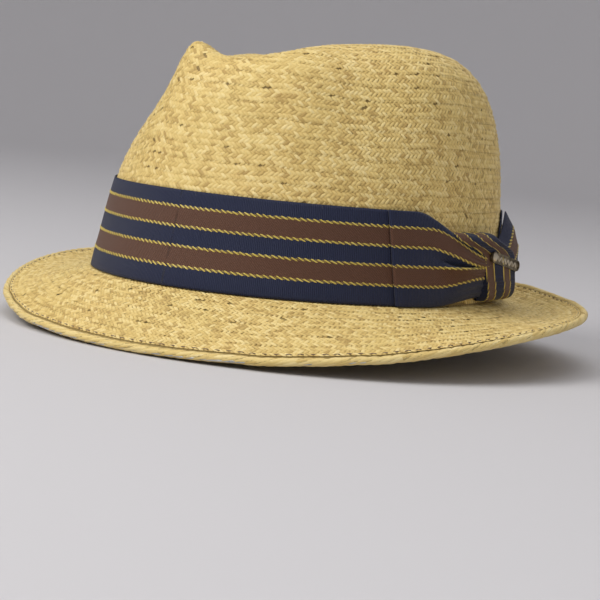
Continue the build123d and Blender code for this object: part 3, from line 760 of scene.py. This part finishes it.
def cord_dashes(name, place, length):
    """Slanting turns of the yellow cords: each turn is a bulged dash with a lower turn beside it, darker as
    painted shade.
    """
    count = max(2, int(length / CORD_PITCH))
    parts, tones = [], []
    for turn, (half_long, half_wide, rise_by, tone_mid) in enumerate(CORD_TURNS):
        lng, wide, rise = strand_patch(half_long, half_wide, CORD_POINTS)
        for line in CORD_LINES:
            u0 = ((np.arange(count) + 0.5 + 0.5 * turn) / count)[:, None]
            u0 = u0[(u0[:, 0] < 1 - 0.5 * CORD_PITCH / length)]
            n = len(u0)
            lean = -CORD_LEAN + rng.normal(0, 0.03, (n, 1))
            du = (lng * np.cos(lean) - wide * np.sin(lean)) / length
            dv = (lng * np.sin(lean) + wide * np.cos(lean)) / RIBBON
            u, v = u0 + du, line + dv + rng.normal(0, 0.0015, (n, 1))
            p, normal = ribbon_frame(place, u, v)
            parts.append((p + normal * (0.12 * MM + rise_by * rise[None, :, None])).reshape(-1, 3))
            # Each turn has a random tone, lower towards its ends and sides as painted shade.
            own = np.repeat(np.clip(rng.normal(tone_mid, 0.07, n), 0, 1), len(lng))
            tones.append(own - 0.25 * (1 - np.tile(rise, n)))
    points = np.concatenate(parts)
    patch = CORD_POINTS * PATCH_COLUMNS
    quads = copies(grid_quads(CORD_POINTS, PATCH_COLUMNS), len(points) // patch, patch)
    obj = mesh_object(name, points, quads, cord, tone=np.clip(np.concatenate(tones), 0, 1))
    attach(obj, "hat")
    return obj


def ribbon_piece(name, node, place, length, nu, nv=33, closed=False):
    """One piece of the striped ribbon with its cords, made as a sheet in place of a CAD node, which is
    hidden.
    """
    sheet = ribbon_sheet(name, place, length, nu, nv, closed=closed)
    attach(sheet, "hat")
    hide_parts(node)
    cords = cord_dashes(name + "_cords", place, length)


BAND_LENGTH, WING_LENGTH, KNOT_LENGTH, TAIL_LENGTH = 606 * MM, 62 * MM, 46 * MM, 31 * MM
FOLD_ANGLE = 61.9                     # front wing's folded edge, at mid-height
KNOT_A, KNOT_B = 93.0, 109.0          # degrees: where the knot and the back wing start and end
TAIL_A, TAIL_B = 107.5, 122.0
FOLD_SLANT = 1.4                      # degrees: the fold leans forward towards its top

# Places across the ribbon, and for each: its height at the knot, where along the wing it starts to
# be drawn there, over how long, and how far it stands off.  The middle stripe is folded inwards.
GATHER_V = np.array([0.0, 0.213, 0.421, 0.523, 0.625, 0.828, 1.0])
GATHER_Z = np.array([4.2, 13.0, 17.5, 17.8, 18.1, 21.8, 28.3]) * MM
GATHER_START = np.array([0.30, 0.40, 0.35, 0.33, 0.30, 0.35, 0.20])
GATHER_RUN = np.array([0.65, 0.50, 0.32, 0.35, 0.62, 0.60, 0.62])
GATHER_OFF = np.array([0.5, 3.3, 4.6, -1.6, 5.0, 4.4, 1.0]) * MM


def gathered(t, v):
    """Height and stand-off of the gathered ribbon; t runs from the fold, 0, to the knot, 1."""
    v = np.clip(v, 0, 1)
    start, run = np.interp(v, GATHER_V, GATHER_START), np.interp(v, GATHER_V, GATHER_RUN)
    draw = ease((t - start) / run)
    full = BAND_Z0 + (BAND_Z1 - BAND_Z0) * v
    z = full + (np.interp(v, GATHER_V, GATHER_Z) - full) * draw
    return z, draw


def band_place(u, v):
    """Once round the crown; under the bow the ribbon is drawn in to the knot's height."""
    angle = np.mod(360 * u, 360)
    before = (angle - FOLD_ANGLE - 1) / (KNOT_A - FOLD_ANGLE)
    after = (TAIL_B - angle) / (TAIL_B - KNOT_B)
    z, draw = gathered(np.clip(np.minimum(before, after), 0, 1), v)
    inwards = draw * 0.6 * MM * np.sin(np.pi * np.clip(v, 0, 1))
    wave = 0.12 * MM * np.sin(2 * np.pi * 3 * u + 1.0) * np.sin(np.pi * v)
    return wall(angle, z, BAND_OFF + wave - inwards * 0.3)


ribbon_piece("band_ribbon", "hat_band", band_place, BAND_LENGTH, 480, closed=True)

TURN_SHARE = 0.035                    # share of the wing's length that goes round the folded edge


def wing_place(u, v):
    """u starts under the fold, turns round it, and runs to the knot."""
    turn = np.pi * np.clip(u / TURN_SHARE, 0, 1)
    t = np.clip((u - TURN_SHARE) / (1 - TURN_SHARE), -0.05, 1.05)
    z, draw = gathered(t, v)
    v_in = np.clip(v, 0, 1)
    pleat = np.interp(v_in, GATHER_V, GATHER_OFF) * draw
    puff = 1.1 * MM * np.sin(np.pi * np.clip(t, 0, 1)) * np.sin(np.pi * v_in) ** 0.5
    creases = 0.22 * MM * np.sin(2 * np.pi * (v_in * 13 + 0.6 * t)) * ease((t - 0.55) / 0.4)
    off = BAND_OFF + 0.6 * MM + 0.55 * MM * (1 - np.cos(turn)) + pleat + puff + creases
    fold = FOLD_ANGLE + FOLD_SLANT * (1 - 2 * v_in)
    angle = fold - 0.35 * np.sin(turn) + (KNOT_A + 1.5 - fold) * np.maximum(t, 0)
    return wall(angle, z, off)


ribbon_piece("bow_wing_front", "bow_front_wing", wing_place, WING_LENGTH, 110, 85)

KNOT_MIDDLE = 17.3 * MM
KNOT_HALF = 14.9 * MM
KNOT_FRONT_OUT, KNOT_BACK_OUT = 5.9 * MM, 10.3 * MM
SIDE_SHARE = 0.172                    # share of the ribbon's width that lies on the knot's side
KNOT_SQUARE = 0.45                    # below 1 the wrap is squarer than an ellipse
WRAP_TURN = 114                       # degrees each way that the ribbon wraps round the knot
TWIST_FROM, TWIST_RUN, TWIST = 22 * MM, 9.5 * MM, 11.0


def knot_place(u, v):
    """u wraps from under the knot's lower end to over its upper end, v from its back to its front side."""
    turn = np.radians(WRAP_TURN * (2 * u - 1))
    share = 1 - v
    z = KNOT_MIDDLE + KNOT_HALF * np.sign(np.sin(turn)) * np.abs(np.sin(turn)) ** KNOT_SQUARE
    face = np.sign(np.cos(turn)) * np.abs(np.cos(turn)) ** KNOT_SQUARE
    on_side = ease(share / SIDE_SHARE)
    on_face = np.clip((share - SIDE_SHARE) / (1 - SIDE_SHARE), 0, 1)
    depth = KNOT_FRONT_OUT + (KNOT_BACK_OUT - KNOT_FRONT_OUT) * on_face
    reach = depth * (0.10 + 0.90 * on_side) * (1 - 0.10 * ease((share - 0.93) / 0.07))
    ridges = 0.35 * MM * np.sin(2 * np.pi * share * 2.1) * on_side * np.cos(turn) ** 2
    off = BAND_OFF + 0.3 * MM + np.where(face > 0, face * (reach + ridges), face * 1.5 * MM)
    lean = 2.0 - 0.19 * np.minimum(z, TWIST_FROM) / MM - TWIST * ease((z - TWIST_FROM) / TWIST_RUN)
    angle = KNOT_A + lean + 0.6 * on_side + (KNOT_B - KNOT_A - 0.6) * on_face
    return wall(angle, z, off)


ribbon_piece("bow_knot_wrap", "bow_knot", knot_place, KNOT_LENGTH, 80, 71)


def tail_place(u, v):
    """u from the knot to the free edge: it flares to the ribbon's full width, its middle off the band."""
    v_in = np.clip(v, 0, 1)
    flare = ease(u)
    full = BAND_Z0 + (BAND_Z1 - BAND_Z0) * v
    drawn = 5 * MM + 23 * MM * v
    z = drawn + (full - drawn) * flare
    belly = (8.6 - 1.6 * u) * MM * (1 - (2 * v_in - 1) ** 2)
    creases = 0.35 * MM * np.sin(2 * np.pi * (v_in * 5 + 0.2)) * (1 - 0.6 * u)
    off = BAND_OFF + 0.5 * MM + belly + creases + 0.9 * MM * u
    return wall(TAIL_A + (TAIL_B - TAIL_A) * u, z, off)


ribbon_piece("bow_tail", "bow_back_wing", tail_place, TAIL_LENGTH, 44, 61)


def cloth_piece(name, node, place, size, nu, nv, thick, material, closed=False):
    """A thin piece inside the hat; size is its flat width and length."""
    sheet = ribbon_sheet(name, place, size[1], nu, nv, thick, closed, material)
    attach(sheet, "hat")
    if node:
        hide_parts(node)


SWEATBAND_MIDDLE = -2.8 * MM          # off the straw's outer face
INSIDE = -3.5 * MM                    # the sweatband's inner side, from the same face
LABEL_ANGLE, BOW_ANGLE = 150.0, 180.0


def sweatband_place(u, v):
    """Soft cotton band: rolled a little at its upper edge, with slow waves where it hangs free."""
    wave = 0.25 * MM * np.sin(2 * np.pi * 9 * u) * v ** 2
    roll = 0.5 * MM * ease((v - 0.93) / 0.07)
    return wall(360 * u, 0.4 * MM + 31.2 * MM * v, SWEATBAND_MIDDLE - 0.1 * MM - wave * 0.5 - roll)


def arc_angle(middle, distance):
    """Angle round the hat at a distance along the band from the middle angle, in degrees."""
    return middle + distance / (OVAL_B * math.pi / 180)


def label_place(u, v):
    """The size label, sewn at its edges and a little puffed in the middle."""
    lift = 0.25 * MM * np.sin(np.pi * np.clip(u, 0, 1)) * np.sin(np.pi * np.clip(v, 0, 1))
    return wall(arc_angle(LABEL_ANGLE, (u - 0.5) * 24 * MM), (10 + 12 * v) * MM, INSIDE - 0.15 * MM - lift)


BOW_MIDDLE_Z = 6 * MM


def small_bow_place(u, v):
    """The two loops of the small bow: u goes once round both."""
    turn = 2 * np.pi * u
    pinch = 0.42 + 0.58 * np.abs(np.sin(turn)) ** 0.8
    z = BOW_MIDDLE_Z + (v - 0.5) * 6 * MM * pinch
    off = INSIDE - 1.5 * MM + 1.1 * MM * np.sin(2 * turn)
    return wall(arc_angle(BOW_ANGLE, 10.8 * MM * np.sin(turn)), z, off)


def small_knot_place(u, v):
    """The turn of ribbon over the small bow's middle."""
    turn = 2 * np.pi * u
    return wall(arc_angle(BOW_ANGLE, (v - 0.5) * 3.4 * MM), BOW_MIDDLE_Z + 1.9 * MM * np.sin(turn),
                INSIDE - 1.4 * MM + 1.3 * MM * np.cos(turn))


cloth_piece("sweatband_cloth", "sweatband", sweatband_place, (31.5 * MM, 582 * MM), 300, 14, 0.9 * MM,
            cotton_black, closed=True)
cloth_piece("size_label_cloth", "size_label", label_place, (12 * MM, 24 * MM), 16, 9, 0.3 * MM, cloth_label)
cloth_piece("small_bow_loops", "sweatband_bow", small_bow_place, (6 * MM, 46 * MM), 80, 9, 0.35 * MM,
            satin_black, closed=True)
cloth_piece("small_bow_knot", None, small_knot_place, (3.4 * MM, 10.5 * MM), 24, 7, 0.35 * MM, satin_black,
            closed=True)


RIDGES = 11                           # slanted ridges along the pin
MOUND = 9                             # points each way in one mound


def pin_relief():
    """A plain raised pattern on the pin's plate, and its bright rounded end."""
    verts = np.array([v.co[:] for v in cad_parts["pin_bar"].data.vertices])
    middle = (verts.min(0) + verts.max(0)) / 2
    _, _, axes = np.linalg.svd(verts - verts.mean(0), full_matrices=False)
    along, up, out = axes
    out = out * np.sign(out[0])
    along = along * np.sign(along[1])
    up = up * np.sign(up[2])
    face = ((verts - middle) @ out).max()
    # Each mound: its place along the plate, half-length, half-width, slant, rise and sunk depth.
    mounds = [(-11.2 * MM, 2.2 * MM, 1.9 * MM, 0.0, 0.5 * MM, 0.05 * MM)]
    mounds += [((k * 1.75 - 7.2) * MM, 1.45 * MM, 0.55 * MM, 62.0 if k % 2 else -62.0, 0.22 * MM, 0.42 * MM)
               for k in range(RIDGES)]
    parts = []
    for place, half_long, half_wide, slant, rise_by, sunk in mounds:
        l, w = np.meshgrid(np.linspace(-1, 1, MOUND), np.linspace(-1, 1, MOUND), indexing="ij")
        disc_l, disc_w = l * np.sqrt(1 - w ** 2 / 2), w * np.sqrt(1 - l ** 2 / 2)
        rise = np.sqrt(np.clip(1 - disc_l ** 2 - disc_w ** 2, 0, 1))
        t = math.radians(slant)
        x = disc_l * half_long * math.cos(t) - disc_w * half_wide * math.sin(t) + place
        y = disc_l * half_long * math.sin(t) + disc_w * half_wide * math.cos(t)
        high = face - sunk + rise_by * rise
        points = middle + x[..., None] * along + y[..., None] * up + high[..., None] * out
        parts.append(points.reshape(-1, 3))
    quads = copies(grid_quads(MOUND, MOUND), len(parts), MOUND * MOUND)
    obj = mesh_object("pin_relief", np.concatenate(parts), quads, brass_bright)
    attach(obj, "hat")


pin_relief()


def paint(node_name, material):
    """Gives a CAD node that keeps its shape its material."""
    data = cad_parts[node_name].data
    data.materials.clear()
    data.materials.append(material)


# The CAD crown shows between the strands and takes the darker straw, as painted shade.
paint("straw_crown", straw_in_painted_shade)
paint("reed_tape", cotton_black)
paint("pin_bar", brass)
paint("pin_prongs", brass)
for wire_node in ("brim_wire_main", "brim_wire_front", "wire_ferrule", "reed"):
    paint(wire_node, steel)
paint("band_tacks", thread_navy)
paint("sweatband_stitches", thread_brown)


# ---------------------------------------------------------------- floor, light and camera
FLOOR_FLAT, FLOOR_CURVE = 2.0, 1.6    # radius of the flat floor, and of the curve up from it
FLOOR_SIDES = 96


def floor():
    """A seamless sweep: flat under the hat, curving up far behind it all round."""
    quarter = np.linspace(0, np.pi / 2, 24)
    wall_rings = 4
    radii = np.concatenate([np.linspace(0, FLOOR_FLAT, 12), FLOOR_FLAT + FLOOR_CURVE * np.sin(quarter)[1:],
                            np.full(wall_rings, FLOOR_FLAT + FLOOR_CURVE)])
    heights = np.concatenate([np.zeros(12), FLOOR_CURVE * (1 - np.cos(quarter))[1:],
                              FLOOR_CURVE + np.linspace(0.5, 2.5, wall_rings)])
    t = np.arange(FLOOR_SIDES) * 2 * np.pi / FLOOR_SIDES
    points = np.stack([radii[None] * np.cos(t)[:, None], radii[None] * np.sin(t)[:, None],
                       np.broadcast_to(heights, (FLOOR_SIDES, len(heights)))], -1)
    material, _, _, shader = new_material("pale_floor")
    shader.inputs["Base Color"].default_value = (0.60, 0.59, 0.605, 1)
    shader.inputs["Roughness"].default_value = 0.9
    quads = grid_quads(FLOOR_SIDES, len(radii), wrap=True)
    obj = mesh_object("floor", points.reshape(-1, 3), quads, material)
    obj.location.z = cad_box[0][2]


floor()

VIEW_AZIMUTH, VIEW_ELEVATION, VIEW_ROLL = 32.0, 5.93, 5.62    # degrees
VIEW_DISTANCE = 0.9
VIEW_TARGET = (2.2 * MM, -9.3 * MM)   # to the right of, and above, the frame's origin
FOCAL_SHARE = 3.235                   # focal length as a share of the sensor's width
SENSOR = 36.0


def direction(azimuth, elevation):
    """Unit vector from the hat towards a place round it, from angles in radians."""
    return Vector((math.sin(azimuth) * math.cos(elevation), -math.cos(azimuth) * math.cos(elevation),
                   math.sin(elevation)))


def camera():
    az, el, roll = (math.radians(v) for v in (VIEW_AZIMUTH, VIEW_ELEVATION, VIEW_ROLL))
    back = direction(az, el)
    right = Vector((math.cos(az), math.sin(az), 0))
    up = back.cross(right)
    place = right * VIEW_TARGET[0] + Vector((0, 0, VIEW_TARGET[1])) + back * VIEW_DISTANCE
    right2 = right * math.cos(roll) + up * math.sin(roll)
    up2 = up * math.cos(roll) - right * math.sin(roll)
    data = bpy.data.cameras.new("camera")
    data.lens = FOCAL_SHARE * SENSOR
    data.sensor_width = SENSOR
    data.clip_start = 0.01
    obj = bpy.data.objects.new("camera", data)
    rows = [(right2[k], up2[k], back[k], place[k]) for k in range(3)] + [(0, 0, 0, 1)]
    obj.matrix_world = Matrix(rows)
    bpy.context.scene.collection.objects.link(obj)
    bpy.context.scene.camera = obj


camera()


LIGHT_AIM = Vector((0, 0, 0.05))      # the lights look at the middle of the hat


def area_light(name, azimuth, elevation, distance, size, power, colour=(1, 1, 1)):
    data = bpy.data.lights.new(name, "AREA")
    data.shape = "SQUARE"
    data.size = size
    data.energy = power
    data.color = colour
    obj = bpy.data.objects.new(name, data)
    way = direction(math.radians(azimuth), math.radians(elevation))
    obj.location = way * distance + LIGHT_AIM
    obj.rotation_euler = way.to_track_quat("Z", "Y").to_euler()
    bpy.context.scene.collection.objects.link(obj)


area_light("key", -22, 36, 1.5, 0.9, 14.0, (1.0, 0.985, 0.96))
area_light("fill", 62, 22, 2.0, 1.4, 5.0)
area_light("top", 0, 85, 1.5, 1.2, 5.0)

bpy.context.scene.view_settings.view_transform = "Standard"
world = bpy.data.worlds.new("studio")
world.use_nodes = True
world.node_tree.nodes["Background"].inputs["Color"].default_value = (0.80, 0.79, 0.80, 1)
world.node_tree.nodes["Background"].inputs["Strength"].default_value = 0.80
bpy.context.scene.world = world
